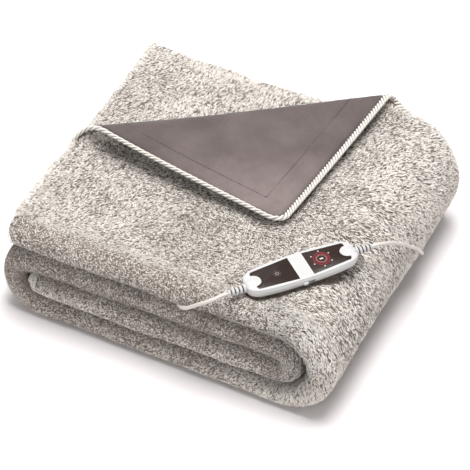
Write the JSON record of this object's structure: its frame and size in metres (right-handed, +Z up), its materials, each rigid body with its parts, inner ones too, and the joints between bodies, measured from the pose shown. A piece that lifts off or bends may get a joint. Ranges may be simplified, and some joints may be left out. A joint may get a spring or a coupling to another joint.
{
  "type": "electric heated blanket",
  "caption": "Folded plush heated blanket with a corner turned back, a rope edge, a slim handset resting on top, and a coiled mains cord with a plug.",
  "frame": {"origin": "middle of the folded blanket's footprint, on the surface it lies on", "axes": "+X along the folded stack towards its round right end, +Y from the side the handset lies near towards the back, +Z up"},
  "size_m": [0.481, 0.5328, 0.1944],
  "materials": {
    "plush": "short dappled pile",
    "lining": "soft matt suede",
    "rope": "twisted yarn",
    "white_plastic": "satin",
    "dark_panel": "glossy",
    "cord_rubber": "satin",
    "tie_strap": "matt woven",
    "pin_metal": "polished"
  },
  "bodies": {
    "blanket": {"plush_panel": "plush", "lining_panel": "lining", "rope_edging": "rope", "handset_housing": "white_plastic", "handset_panel_left": "dark_panel", "handset_panel_right": "dark_panel", "strain_relief_left": "white_plastic", "strain_relief_right": "white_plastic", "lead_cord": "cord_rubber", "mains_cord": "cord_rubber", "mains_coil": "cord_rubber", "coil_tie": "tie_strap", "mains_tail": "cord_rubber", "mains_plug": "cord_rubber", "plug_sleeve": "cord_rubber", "plug_pin_a": "pin_metal", "plug_pin_b": "pin_metal"},
    "slider": {"switch_slider": "white_plastic"}
  },
  "joints": [
    {"name": "switch_slide", "type": "slide", "parent": "blanket", "child": "slider", "axis": [0.6224, 0.7826, -0.0109], "range_m": [0, 0.01]}
  ]
}
